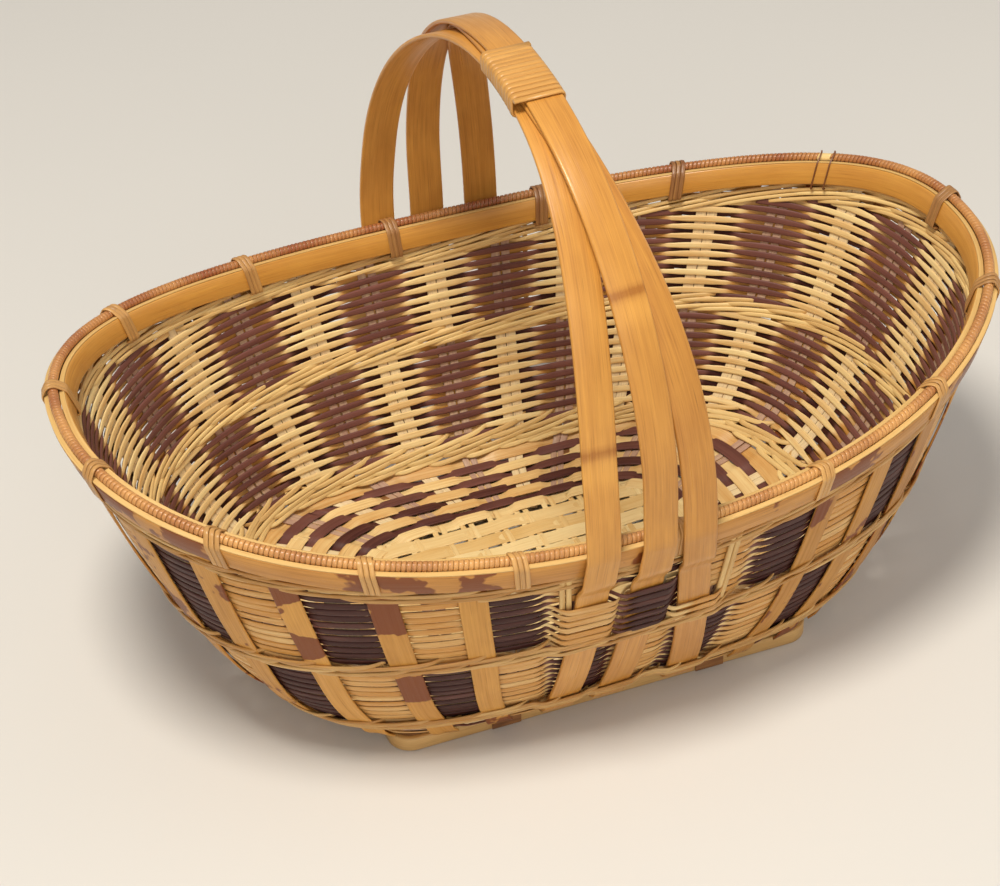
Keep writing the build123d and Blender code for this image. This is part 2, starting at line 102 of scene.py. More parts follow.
def fibre_material(
    name, pale, deep, edge, rough=0.45, patch=None, patch_from=0.58, fine=1.0, coat=0.0, spot=28.0, shine=0.5
):
    """Split bamboo or cane: fibres along the run, slow blotches, a tone for each strip and burnt patches."""
    r = Recipe(name)
    fibres = r.noise(34.0, 2100.0 * fine, 4.0)
    streaks = r.noise(9.0, 620.0 * fine, 3.0, 3.1)
    blotches = r.noise(38.0, 110.0, 2.0, 7.7)
    tone = r.node("Attribute", attribute_name="tone").outputs["Fac"]
    amount = r.math("ADD", r.math("MULTIPLY", fibres, 0.55), r.math("MULTIPLY", streaks, 0.55))
    amount = r.math("ADD", amount, r.math("MULTIPLY", blotches, 0.45))
    amount = r.math("ADD", amount, r.math("MULTIPLY", tone, 0.5))
    amount = r.range(amount, 0.68, 1.4)
    shade = r.mix(amount, colour(pale), colour(deep))
    dark_line = r.range(fibres, 0.6, 0.78, 0.0, 0.55)
    shade = r.mix(dark_line, shade, colour(edge))
    if patch:
        spots = r.noise(spot, spot, 4.0, 13.0)
        burn = r.node("Attribute", attribute_name="burn").outputs["Fac"]
        burnt = r.range(r.math("ADD", spots, burn), patch_from, patch_from + 0.02)
        shade = r.mix(r.math("MULTIPLY", burnt, 0.92), shade, colour(patch))
    r.tree.links.new(shade, r.shader.inputs["Base Color"])
    r.tree.links.new(r.range(streaks, 0.3, 0.7, rough - 0.07, rough + 0.1), r.shader.inputs["Roughness"])
    bump = r.node("Bump", {"Height": fibres, "Strength": 0.35, "Distance": 0.0003})
    r.tree.links.new(bump.outputs["Normal"], r.shader.inputs["Normal"])
    r.shader.inputs["Specular IOR Level"].default_value = shine
    r.shader.inputs["Coat Weight"].default_value = coat
    r.shader.inputs["Coat Roughness"].default_value = 0.25
    return r.material


# Signs of X and Y in each corner, with the quarter turns before it.
CORNERS = ((1, 1, 0), (-1, 1, 1), (-1, -1, 2), (1, -1, 3))


def outline(corner_across, corner_through, steps=3):
    """A rounded rectangle of half sizes 1, from the share of each half that its corners take."""
    points = []
    for sx, sy, quarter in CORNERS:
        for i in range(steps):
            angle = math.pi / 2 * (quarter + i / (steps - 1))
            x = sx * (1 - corner_across) + corner_across * math.cos(angle)
            y = sy * (1 - corner_through) + corner_through * math.sin(angle)
            points.append((x, y))
    return np.array(points)


FLAT = outline(0.12, 0.55)
SPLINT = outline(0.5, 0.9)
ROUND = np.array([(math.cos(a), math.sin(a)) for a in np.arange(8) * math.pi / 4])


class Strands:
    """Strips and canes gathered into one mesh. Each has its run and girth as UV and a tone of its own."""

    def __init__(self):
        self.points, self.loops, self.counts, self.runs, self.tones, self.burns = [], [], [], [], [], []
        self.total = 0

    def add(
        self, middle, side, face, width, thickness,
        section=SPLINT, closed=False, tone=None, burn=0.0, start=None,
    ):
        """A strip along a line of points, with the direction of its width and of its thickness at each."""
        middle = np.asarray(middle, float)
        starts = dice.uniform(0, 50, 2) if start is None else (start, start)
        count, sides = len(middle), len(section)
        half_w = np.broadcast_to(np.asarray(width, float) / 2, (count,))
        half_t = np.broadcast_to(np.asarray(thickness, float) / 2, (count,))
        across = half_w[:, None] * section[None, :, 0]
        through = half_t[:, None] * section[None, :, 1]
        ring = middle[:, None] + side[:, None] * across[..., None] + face[:, None] * through[..., None]
        self.points.append(ring.reshape(-1, 3))
        steps = np.linalg.norm(np.diff(middle, axis=0, append=middle[:1]), axis=1)
        run = np.concatenate([[0.0], np.cumsum(steps)]) + starts[0]
        mean_outline = section * [half_w.mean(), half_t.mean()]
        girth = np.linalg.norm(np.diff(mean_outline, axis=0, prepend=mean_outline[:1]), axis=1).cumsum()
        round_run = np.append(girth, 2 * girth[-1] - girth[-2]) + starts[1]
        i = np.arange(count if closed else count - 1)[:, None]
        j = np.arange(sides)[None, :]
        i2, j2 = (i + 1) % count, (j + 1) % sides
        quads = np.stack([i * sides + j, i2 * sides + j, i2 * sides + j2, i * sides + j2], axis=-1)
        u = np.stack(np.broadcast_arrays(run[i], run[i + 1], run[i + 1], run[i]), axis=-1)
        u = np.broadcast_to(u, quads.shape)
        v = np.stack([round_run[j], round_run[j], round_run[j + 1], round_run[j + 1]], axis=-1)
        v = np.broadcast_to(v, quads.shape)
        self.loops.append(quads.reshape(-1) + self.total)
        self.counts.append(np.full(quads.shape[0] * quads.shape[1], 4))
        self.runs.append(np.stack([u, v], axis=-1).reshape(-1, 2))
        if not closed:
            for first, order in ((0, range(sides)), ((count - 1) * sides, reversed(range(sides)))):
                cap = np.array([first + k for k in order])
                self.loops.append(cap + self.total)
                self.counts.append(np.array([sides]))
                self.runs.append(mean_outline[cap - first] + 7.0)
        value = dice.uniform(0, 1) if tone is None else tone
        self.tones.append(np.broadcast_to(np.asarray(value, float), (count,)).repeat(sides))
        self.burns.append(np.broadcast_to(np.asarray(burn, float), (count,)).repeat(sides))
        self.total += count * sides

    def piece(self, name, material, *nodes, slot=None):
        """Makes the object, which stands for the CAD nodes named."""
        points = np.concatenate(self.points)
        loops = np.concatenate(self.loops)
        counts = np.concatenate(self.counts)
        mesh = bpy.data.meshes.new(name)
        mesh.vertices.add(len(points))
        mesh.vertices.foreach_set("co", points.astype(np.float32).ravel())
        mesh.loops.add(len(loops))
        mesh.loops.foreach_set("vertex_index", loops.astype(np.int32))
        mesh.polygons.add(len(counts))
        starts = np.concatenate([[0], np.cumsum(counts)[:-1]])
        mesh.polygons.foreach_set("loop_start", starts.astype(np.int32))
        mesh.polygons.foreach_set("use_smooth", counts == 4)
        mesh.update(calc_edges=True)
        layer = mesh.uv_layers.new(name="run")
        layer.data.foreach_set("uv", np.concatenate(self.runs).astype(np.float32).ravel())
        for label, values in (("tone", self.tones), ("burn", self.burns)):
            layer = mesh.attributes.new(label, "FLOAT", "POINT")
            layer.data.foreach_set("value", np.concatenate(values).astype(np.float32))
        mesh.validate()
        mesh.materials.append(material)
        made = bpy.data.objects.new(name, mesh)
        bpy.context.scene.collection.objects.link(made)
        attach(made, "root")
        if nodes:
            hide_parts(*nodes)
        slot or "two_tone_weave"
        return made


def unit(vectors):
    """The same directions at length 1."""
    return vectors / np.maximum(np.linalg.norm(vectors, axis=-1, keepdims=True), 1e-12)


def travel(points, closed):
    """Direction of travel along a line of points."""
    if closed:
        return unit(np.roll(points, -1, axis=0) - np.roll(points, 1, axis=0))
    return unit(np.gradient(points, axis=0))


def bent_rectangle(half_x, half_y, corner, corner_steps=10, side_steps=24):
    """Centre line of a strip bent into a rounded rectangle."""
    points = []
    for sx, sy, quarter in CORNERS:
        cx, cy = sx * (half_x - corner), sy * (half_y - corner)
        for i in range(corner_steps + 1):
            angle = math.pi / 2 * (quarter + i / corner_steps)
            points.append((cx + corner * math.cos(angle), cy + corner * math.sin(angle)))
    line = []
    for (ax, ay), (bx, by) in zip(points, points[1:] + points[:1]):
        steps = side_steps if math.dist((ax, ay), (bx, by)) > corner else 1
        line += [(ax + (bx - ax) * k / steps, ay + (by - ay) * k / steps) for k in range(steps)]
    return np.array(line)


UP = np.array([0.0, 0.0, 1.0])
foot_low, foot_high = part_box("foot_frame")
liner_low, liner_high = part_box("foot_liner")
foot_corner = 0.012
foot_strip = 0.003
liner_strip = 0.0016

foot_bamboo = fibre_material("foot_bamboo", "DCB474", "B07D40", "7A5226", 0.42)
brown_splint = fibre_material("brown_splint", "B07F4B", "7A4D2B", "4A2C18", 0.5)


def strip_on_edge(low, high, thickness, corner):
    """Line and directions of a strip that stands on edge round the inside of a box."""
    half_x = high[0] - thickness / 2
    half_y = high[1] - thickness / 2
    flat = bent_rectangle(half_x, half_y, corner - thickness / 2)
    line = np.column_stack([flat, np.full(len(flat), (low[2] + high[2]) / 2)])
    run = travel(line, True)
    face = np.cross(run, UP)
    return line, np.broadcast_to(UP, line.shape), unit(face)


foot = Strands()
line, side, face = strip_on_edge(foot_low, foot_high, foot_strip, foot_corner)
foot.add(line, side, face, foot_high[2] - foot_low[2], foot_strip, FLAT, True, 0.3)
foot.piece("foot_strip", foot_bamboo, "foot_frame", slot="foot_bamboo")

liner = Strands()
line, side, face = strip_on_edge(liner_low, liner_high, liner_strip, foot_corner - foot_strip)
liner.add(line, side, face, liner_high[2] - liner_low[2], liner_strip, FLAT, True, 0.7)
liner.piece("foot_lining", brown_splint, "foot_liner", slot="brown_splint")

# Wall shape
# Five rings set the shape of everything woven: the mat's edge, the foot, the lowest band, the middle band and
# the rim, which rises at both ends. A place on the wall is a share of the way round and a height.

rim_half = (0.230, 0.1447)
rings = (
    (0.0820, 0.0500, 5.0, 0.0085),
    (0.1110, 0.0928, 7.0, 0.0091),
    (0.1520, 0.1035, 3.4, 0.0216),
    (0.1950, 0.1280, 2.45, 0.0776),
    (rim_half[0], rim_half[1], 2.2, 0.1432),
)
mat_z, foot_z, base_z, middle_z, rim_low_z = (ring[3] for ring in rings)
rim_end_rise = 0.032
rim_rise_late = 0.24
hoop_top = -0.0020
hoop_bottom = -0.0142
band_bottom = -0.0232
near_rim = 0.15


def rim_z(x):
    """Height of the rim's core, which rises to both ends."""
    u = np.abs(x) / rim_half[0]
    return rim_low_z + rim_end_rise * ((1 - rim_rise_late) * u**2 + rim_rise_late * u**4)


def measured_ring(ring, steps=2880):
    """X and Y round a ring, with the share of its length before each point."""
    angle = np.linspace(0, 2 * math.pi, steps + 1)
    c, s = np.cos(angle), np.sin(angle)
    x = ring[0] * np.sign(c) * np.abs(c) ** (2 / ring[2])
    y = ring[1] * np.sign(s) * np.abs(s) ** (2 / ring[2])
    run = np.concatenate([[0.0], np.cumsum(np.hypot(np.diff(x), np.diff(y)))])
    return x, y, run / run[-1]


measured = [measured_ring(ring) for ring in rings]


def wall_middle(share, z):
    """Points on the middle of the wall's thickness."""
    share, z = np.broadcast_arrays(np.asarray(share, float), np.asarray(z, float))
    xy = np.array([[np.interp(share % 1.0, run, axis) for axis in (x, y)] for x, y, run in measured])
    heights = [np.full(share.shape, ring[3]) for ring in rings[:4]] + [rim_z(xy[4, 0])]
    steps = [b - a for a, b in zip(heights, heights[1:])]
    slopes = [(xy[i + 1] - xy[i]) / steps[i] for i in range(4)]
    ends = [slopes[0]]
    for i in range(1, 4):
        w0, w1 = 2 * steps[i] + steps[i - 1], steps[i] + 2 * steps[i - 1]
        same = slopes[i - 1] * slopes[i] > 0
        a = np.where(same, slopes[i - 1], 1.0)
        b = np.where(same, slopes[i], 1.0)
        ends.append(np.where(same, (w0 + w1) / (w0 / a + w1 / b), 0.0))
    ends.append(slopes[3])
    place = xy[4] + (z - heights[4]) * ends[4]
    for i in (3, 2, 1, 0):
        t = np.clip((z - heights[i]) / steps[i], 0, 1)
        curve = (2 * t**3 - 3 * t**2 + 1) * xy[i] + (t**3 - 2 * t**2 + t) * steps[i] * ends[i]
        curve = curve + (3 * t**2 - 2 * t**3) * xy[i + 1] + (t**3 - t**2) * steps[i] * ends[i + 1]
        place = np.where(z < heights[i + 1], curve, place)
    return np.stack([place[0], place[1], z], axis=-1)


def way_round(share, z, part=5e-4):
    """The step round the wall between two places, this share before and after."""
    return wall_middle(share + part, z) - wall_middle(share - part, z)


def girth_at(share, z):
    """Length round the wall for a share of 1, as measured at this place."""
    return np.linalg.norm(way_round(share, z, 0.001), axis=-1) / 0.002


def wall(share, z, out=0.0, up=0.0):
    """Points off the wall, with the direction up the wall and the direction squarely out of it."""
    share, z = np.broadcast_arrays(np.asarray(share, float), np.asarray(z, float))
    step = np.where(z < foot_z + 1e-4, 2e-5, 4e-4)
    climb = unit(wall_middle(share, z + step) - wall_middle(share, z - step))
    normal = unit(np.cross(way_round(share, z), climb))
    place = wall_middle(share, z) + normal * np.asarray(out)[..., None] + climb * np.asarray(up)[..., None]
    return place, climb, normal


places = ((0, 0.025), (6, 0.4175), (9, 0.592), (10, 0.6645), (11, 0.7245), (16, 1.025))
place_counts = np.array([count for count, share in places], float)
place_shares = np.array([share for count, share in places])
BLOCKS = 16


def count_at(share):
    """The count of light and dark blocks up to a share: whole at a light block, half at a dark one."""
    turned = (np.asarray(share) - place_shares[0]) % 1.0 + place_shares[0]
    return np.interp(turned, place_shares, place_counts)


def share_of(count):
    """The share at which a count of blocks is reached."""
    return np.interp(np.asarray(count) % BLOCKS, place_counts, place_shares) % 1.0


def wander(share, size, seed):
    """A slow unevenness round the basket, of about this size."""
    luck = np.random.default_rng(seed)
    total = np.zeros_like(share)
    for waves in (2, 3, 5, 9, 17):
        total += luck.normal() / math.sqrt(waves) * np.sin(2 * math.pi * (waves * share + luck.uniform()))
    return total * size


def smooth(t):
    """0 below 0, 1 above 1 and a soft rise between."""
    t = np.clip(t, 0, 1)
    return t * t * (3 - 2 * t)


def near(share, centre, reach, soft):
    """1 within reach of a place round the wall, and 0 beyond it, with soft edges."""
    away = np.abs((share - centre + 0.5) % 1.0 - 0.5)
    return smooth((reach + soft - away) / soft)


# Mat
# Wide pale splints run lengthwise over and under narrow cross stakes, and make the middle of the floor.

pale_splint = fibre_material("pale_splint", "F3DAA0", "DAB06A", "9C7A45", 0.5)
splint_low, splint_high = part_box("base_splints")
cross_low, cross_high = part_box("base_stakes")
splint_count = 9
splint_width = 0.0094
cross_pairs = 10
cross_width = 0.0030
cross_apart = 0.0024
mat_span = splint_high[1] - splint_low[1] - splint_width
mat_thickness = 0.0008
mat_half_x, mat_half_y, mat_power = rings[0][:3]


def mat_reach(along, across, place, beyond):
    """How far a strip runs to go beyond the mat's edge, at a place across it."""
    return along * (1 - min(abs(place) / (across + 0.004), 0.98) ** mat_power) ** (1 / mat_power) + beyond


mat = Strands()
for k in range(splint_count):
    y = splint_low[1] + splint_width / 2 + mat_span * k / (splint_count - 1)
    reach = mat_reach(mat_half_x, mat_half_y, y, 0.010)
    x = np.linspace(-reach, reach, 120)
    phase = (-1) ** k
    z = splint_low[2] + 0.0006 + 0.0004 * phase * np.cos(math.pi * x / (cross_high[0] * 2 / cross_pairs))
    line = np.column_stack([x, y + 0.0006 * np.sin(9 * x / reach + k), z])
    side = np.tile([0.0, 1.0, 0.0], (len(x), 1))
    mat.add(line, side, np.broadcast_to(UP, line.shape), splint_width, mat_thickness, FLAT)
mat.piece("mat_splints", pale_splint, "base_splints", slot="pale_splint")

cross = Strands()
for k in range(cross_pairs):
    x0 = cross_low[0] + (cross_high[0] - cross_low[0]) * (k + 0.5) / cross_pairs
    for shift in (-cross_apart, cross_apart):
        reach = mat_reach(mat_half_y, mat_half_x, x0, 0.003)
        y = np.linspace(-reach, reach, 80)
        pitch = (splint_high[1] - splint_low[1]) / splint_count
        z = splint_low[2] + 0.0003 - 0.0006 * (-1) ** k * np.cos(math.pi * y / pitch)
        line = np.column_stack([np.full_like(y, x0 + shift), y, z])
        side = np.tile([1.0, 0.0, 0.0], (len(y), 1))
        cross.add(line, side, np.broadcast_to(UP, line.shape), cross_width, mat_thickness, FLAT)
cross.piece("mat_stakes", pale_splint, "base_stakes", slot="pale_splint")

# Inner stakes
# Each block of the weave has an upright stake in its middle, split in two along its length. The stakes run
# from the rim down the wall and on under the floor to the mat, and the weavers pass on either side of them.

# The deep pinkish brown goes on the stakes in the dark blocks. It is painted shade plus the reflected colour
# of the dark weavers round them.
stake_cane = fibre_material("stake_cane", "F2DCAA", "B58E78", "8F6B3E", 0.5)
open_width, open_gap = 0.0055, 0.0004
dark_width, dark_gap = 0.0046, 0.0011
thin_stake_thickness = 0.0009


def stake_heights(share, low, high_drop, steps=60):
    """Heights up a stake, from a level to a drop below the rim."""
    top = rim_z(wall_middle(share, near_rim)[0]) + high_drop
    return np.linspace(low, top, steps)


inner = Strands()
for k in range(2 * BLOCKS):
    for half in (-1, 1):
        share = share_of(k / 2)
        z = stake_heights(share, base_z, hoop_bottom + 0.004)
        flat = np.linspace(mat_z, foot_z, 8)[:-1]
        rise = np.linspace(foot_z, base_z, 10)[:-1]
        z = np.concatenate([flat, rise, z])
        above = np.clip((z - middle_z) / 0.008 + 0.5, 0, 1)
        open_block = above if k % 2 else 1 - above
        small = 0.72 + 0.28 * np.clip((z - foot_z) / 0.015, 0, 1)
        width = (dark_width + (open_width - dark_width) * open_block) * small
        gap = (dark_gap + (open_gap - dark_gap) * open_block) * small
        spot = share + half * (width + gap) / 2 / girth_at(share, z)
        points, climb, normal = wall(spot, z)
        across = np.cross(normal, climb)
        # In the dark blocks the stakes take the deep pinkish tone, as painted shade and reflected colour from
        # the dark weavers.
        inner.add(points, across, normal, width, thin_stake_thickness, FLAT, False, 1.1 - open_block)
thin_stake_nodes = [f"thin_stakes_{side}" for side in ("front", "back", "left", "right")]
inner.piece("inner_stakes", stake_cane, *thin_stake_nodes, slot="stake_cane")

# Floor
# Round the mat lie five wide pale splints and four stained ones, over and under the stakes in turn. They
# spread over the foot as far as the lowest band, and the light and dark blocks start with them.

# The weavers' deep colours serve both their random tone and the painted shade of rows that lie outside the
# stakes.
natural = fibre_material("natural_weaver", "F6DDA0", "CB8F42", "8C5C24", 0.42)
stained = fibre_material("stained_weaver", "7E5046", "3A1511", "9C6C55", 0.47, shine=0.3)
ring_share = np.linspace(0, 1, 960, endpoint=False)
weaver_out = 0.0011
floor_pairs = 4.5
band_foot = 0.0080

floor_tall = {True: 0.60, False: 0.50}
floor_first = {True: 0.14, False: 0.64}
floor_thickness = 0.0007

under_mat = np.linspace(mat_z, foot_z, 14)[:-1]
over_foot = np.linspace(foot_z, base_z, 14)
floor_levels = np.concatenate([under_mat, over_foot, [base_z + 0.008]])
floor_steps = np.stack([wall_middle(ring_share, z) for z in floor_levels], axis=1)
floor_run = np.linalg.norm(np.diff(floor_steps, axis=1, prepend=floor_steps[:, :1]), axis=2).cumsum(axis=1)
floor_size = floor_run[:, -2]


def floor_height(distance):
    """Height of the floor at a distance up from the mat's edge, all the way round."""
    return np.array([np.interp(d, run, floor_levels) for d, run in zip(distance, floor_run)])


def woven(cycle, pitch):
    """How far out a row lies and how tall it is, from the inside of a stake at -1 to the outside at 1."""
    out = weaver_out * np.tanh(3.0 * (cycle - 0.3))
    alone = smooth((np.abs(cycle) - 0.2) / 0.6)
    return out, pitch * (0.55 + np.where(cycle > 0, 0.34, 0.15) * alone)


def row_tone_and_outside_shade(cycle, row, light):
    """Each row has a random tone of its own. Splints stay pale where they pass inside the stakes, and where
    they lie outside they take a deeper colour, which is painted shade.
    """
    luck = 0.5 * np.random.default_rng(row).uniform()
    return luck + (0.75 if light else 0.9) * np.clip(cycle * 3, 0, 1)


floor = {True: Strands(), False: Strands()}
for light in (True, False):
    for k in range(5 if light else 4):
        pitch = (floor_size - band_foot) / floor_pairs
        cycle = np.cos(2 * math.pi * count_at(ring_share)) * (-1 if light else 1)
        out = woven(cycle, pitch)[0]
        tall = pitch * floor_tall[light]
        distance = pitch * (k + floor_first[light]) + wander(ring_share, 0.0003, 300 + k)
        points, climb, normal = wall(ring_share, floor_height(distance), out)
        points[:, 2] += 0.0014 * np.clip(1 - k / 4, 0, 1)
        floor[light].add(points, climb, normal, tall, floor_thickness, FLAT, True)
floor[True].piece("floor_splints_natural", natural, "floor_weave")
floor[False].piece("floor_splints_stained", stained, "floor_weave")

# Twined bands
# Canes work round each band together, four to a wale. Each climbs across the outside of one or two stakes and
# drops back across the inside of the next, so that both faces show long slanting lines.

# Its deep colour also serves as painted shade on canes where they show on the outside.
pale_cane = fibre_material("pale_cane", "F3D491", "B57F3B", "7E5224", 0.42)
cane_width = 0.0024
cane_thickness = 0.0013
band_strokes = 11
strap_width = 0.016
strap_root_width = 0.0185
strap_thickness = 0.0022
strap_on_wall = 0.0036
near_feet = (-0.0258, 0.0009, 0.0202)
near_ends = (-0.0310, -0.0050, 0.0330)
far_feet = (-0.0300, -0.0022, 0.0282)
far_ends = (-0.0340, -0.0030, 0.0340)
strap_tucks = (0.1100, 0.1120, 0.0930)
strap_reach_near, strap_reach_far = 0.0088, 0.0100
strap_reach_soft = 0.0085


def strap_x(foot_x, end_x, z):
    """How far along the basket a strap stands at a height on its way down the wall."""
    return end_x + (foot_x - end_x) * (z - foot_z) / (rim_low_z + hoop_top - foot_z)


def share_at(x, near_side, z):
    """The share of the way round at which a long side has this X."""
    low, high = np.full_like(z, 0.5), np.full_like(z, 1.0 if near_side else 0.0)
    for _ in range(30):
        middle = (low + high) / 2
        left = wall_middle(middle, z)[..., 0] < x
        low = np.where(left, middle, low)
        high = np.where(left, high, middle)
    return (low + high) / 2


def over_strap(share, z, index, near_side):
    """1 where a row at this height crosses one of the straps, and 0 beside it."""
    foot_x = (near_feet if near_side else far_feet)[index]
    end_x = (near_ends if near_side else far_ends)[index]
    height = np.array([float(np.mean(z))])
    spot = share_at(strap_x(foot_x, end_x, height), near_side, height)[0]
    return near(share, spot, strap_reach_near if near_side else strap_reach_far, strap_reach_soft)


def twined_band(band, place, wales, rise, outside, inside, seed, clear=0.0019, loose=0.0002, wide=cane_width):
    """Wales of four canes. Each lies outside of the uprights for half of a stroke and inside for the rest."""
    for wale, level in enumerate(wales):
        for k in range(4):
            sway = 0.025 * np.sin(2 * math.pi * 3 * ring_share + seed + k)
            phase = (count_at(ring_share) * band_strokes / BLOCKS + k / 4 + 0.37 * wale + sway) % 1.0
            showing = np.tanh(2.4 * np.sin(2 * math.pi * phase)) / math.tanh(2.4)
            climb_part = np.where(phase < 0.5, 4 * phase - 1, 3 - 4 * phase)
            offset = level + rise * climb_part + wander(ring_share, loose, seed * 10 + k + 4 * wale)
            z = place(offset, (showing + 1) / 2)
            out = np.where(showing > 0, outside, inside) * showing + 0.0003 * climb_part
            for index in range(3):
                for near_side in (True, False):
                    out = out + clear * np.clip(showing, 0, 1) * over_strap(ring_share, z, index, near_side)
            points, climb, normal = wall(ring_share, z, out)
            # Canes are painted a deeper colour where they show outside the stakes, as painted shade. This
            # sits over a random tone for each cane.
            tone = dice.uniform(0, 0.5) + 0.75 * np.clip(0.5 + showing, 0, 1)
            band.add(points, climb, normal, wide, cane_thickness, SPLINT, True, tone)


def base_place(offset, outer_part):
    """The lowest band's canes lie up the wall on the outside, and down on the floor on the inside."""
    inner_height = floor_height(floor_size - 0.0034 + 1.5 * offset)
    return inner_height + (base_z + 0.0041 + 0.8 * offset - inner_height) * outer_part


base_band = Strands()
base_wales = (-0.0028, 0.0, 0.0028)
twined_band(base_band, base_place, base_wales, 0.0021, outside=0.0036, inside=0.0017, seed=1, wide=0.0029)
base_band.piece("twined_band_low", pale_cane, "base_band", slot="pale_cane")


def middle_place(offset, outer_part):
    """The middle band's canes lie level on both faces."""
    return middle_z + offset


middle_band = Strands()
middle_wales = (-0.0021, 0.0021)
twined_band(middle_band, middle_place, middle_wales, 0.0022, outside=0.0037, inside=0.0019, seed=2)
middle_band.piece("twined_band_middle", pale_cane, "middle_band", slot="pale_cane")

rim_height = rim_z(wall_middle(ring_share, near_rim)[:, 0])


def top_place(offset, outer_part):
    """The top band's canes follow the rim."""
    return rim_height + (hoop_bottom + band_bottom) / 2 + offset


top_band = Strands()
top_wales = (-0.0019, 0.0019)
edge_wale = (0.0066,)
twined_band(top_band, top_place, top_wales, 0.0022, 0.0033, 0.0019, 3, clear=0.0, loose=0.0005, wide=0.0022)
twined_band(top_band, top_place, edge_wale, 0.0018, 0.0013, 0.0013, 4, clear=0.0, loose=0.0003)
top_band.piece("twined_band_top", pale_cane, "top_band", slot="pale_cane")

# Weavers
# Natural and dark-stained splints lie row on row in turn. In a light block the natural ones pass outside the
# stake and the dark ones inside, in a dark block the other way about, and the lower zone is the reverse.

row_pitch = 0.00485
pitch_far = 0.0003
weaver_thickness = 0.0010
shortest_part = 16


def weaver_rows(rows, first, shift, high_at, upper_zone, light, seed):
    """Rows of one colour, each cut where it meets the band above. Rows lie closer on the near side.

    The lowest pale row has a fixed start, so that it draws nothing from the dice.
    """
    pitch = row_pitch + pitch_far * np.sin(2 * math.pi * ring_share)
    row = -1
    while first + row * row_pitch * 0.9 < high_at.max():
        slant = 0.0003 * np.sin(2 * math.pi * 5 * ring_share + row * 1.3)
        height = first + (row + shift) * pitch + slant + wander(ring_share, 0.00022, seed + row)
        cycle = np.cos(2 * math.pi * count_at(ring_share)) * (1 if light == upper_zone else -1)
        out, tall = woven(cycle, pitch)
        for index, tuck in enumerate(strap_tucks):
            middle_strap = index == 1
            if upper_zone and light != middle_strap and np.mean(height) < tuck:
                crossed = over_strap(ring_share, height, index, True)
                out = out + (strap_on_wall + strap_thickness / 2 + 0.0008 - out) * crossed
        tall = tall * (1 + wander(ring_share, 0.03, seed + row + 900))
        # Parts of a row outside the stakes are painted a deeper colour as painted shade. The rest of the tone
        # is random for each row.
        tone = row_tone_and_outside_shade(cycle, seed + row, light)
        start = seed / 7 if light and row < 0 else None
        points, climb, normal = wall(ring_share, height, out)
        kept = height < high_at + 0.0012
        if kept.all():
            rows.add(points, climb, normal, tall, weaver_thickness, SPLINT, True, tone, 0.0, start)
        elif kept.any():
            order = (np.arange(len(kept)) + int(np.argmin(kept))) % len(kept)
            edges = np.flatnonzero(np.diff(np.concatenate([[0], kept[order].astype(int), [0]])))
            for a, b in zip(edges[::2], edges[1::2]):
                part = order[a:b]
                if len(part) > shortest_part:
                    taken = (points[part], climb[part], normal[part], tall[part])
                    rows.add(*taken, weaver_thickness, SPLINT, False, tone[part])
        row += 1


lower_first = base_z + 0.0046
lower_high = np.full(len(ring_share), middle_z - 0.0052)
upper_first = middle_z + 0.0064
upper_high = rim_height + band_bottom - 0.0004
for light, material, label, shift in ((True, natural, "natural", 0.0), (False, stained, "stained", 0.5)):
    lower = Strands()
    weaver_rows(lower, lower_first, shift, lower_high, False, light, 40 + 20 * light)
    lower.piece(f"weavers_low_{label}", material, "weave_lower")
    upper = Strands()
    weaver_rows(upper, upper_first, shift, upper_high, True, light, 80 + 20 * light)
    upper.piece(f"weavers_high_{label}", material, "weave_upper")

# Outer stakes
# Flat bamboo stakes lie outside the weave, over the places where the weavers cross. The twined bands hold
# them from the foot to the rim. Heat has left brown patches on many of them.

patched = fibre_material("patched_bamboo", "D89F4E", "A56C28", "6F4719", 0.42, "763511", 0.54, shine=0.35)
stake_width = 0.0130
stake_thickness = 0.0012
strap_room = 0.014
filler_places = (0.7145, 0.7172, 0.7853, 0.7880, 0.2085, 0.2885)


def meets_strap(share):
    """Whether a stake here would stand where a handle strap goes down the wall."""
    for z in (base_z, middle_z, rim_low_z + band_bottom):
        x, y, height = wall_middle(share, z)
        room = ((strap_width if y < 0 else strap_root_width) + strap_room) / 2 + 0.0005
        feet, ends = (near_feet, near_ends) if y < 0 else (far_feet, far_ends)
        if any(abs(x - strap_x(foot, end, z)) < room for foot, end in zip(feet, ends)):
            return True
    return False


# Share of the way round, low end and high end of each burnt patch that is placed.
burns = (
    (0.6133, 0.128, 0.140),
    (0.6133, 0.086, 0.100),
    (0.6483, 0.106, 0.140),
    (0.6904, 0.100, 0.122),
    (0.6483, 0.052, 0.070),
)
outer = Strands()
for k in range(2 * BLOCKS):
    share = share_of(k / 2 + 0.25)
    if meets_strap(share):
        continue
    z = stake_heights(share, foot_z + 0.0025, hoop_bottom + 0.0035, 70)
    top = z[-1]
    out = 0.0024 - 0.0010 * smooth((z - (top - 0.010)) / 0.008)
    lean = share + 0.0012 * math.sin(k * 2.3) * (z - 0.08) / 0.08
    points, climb, normal = wall(lean, z, out)
    across = np.cross(normal, climb)
    width = stake_width * (0.86 + 0.14 * np.clip(z / 0.12, 0, 1)) * (1 + 0.05 * math.sin(k * 1.7))
    burn = np.zeros(len(z))
    for place, low, high in burns:
        if abs(share - place) < 0.004:
            burn = burn + 0.26 * np.clip(1.7 - np.abs(z - (low + high) / 2) / (high - low) * 2, 0, 1) - 0.04
    outer.add(points, across, normal, width, stake_thickness, FLAT, False, None, burn)
outer_stake_nodes = [f"stakes_{side}" for side in ("front", "back", "left", "right")]
outer.piece("outer_stakes", patched, *outer_stake_nodes, slot="patched_bamboo")

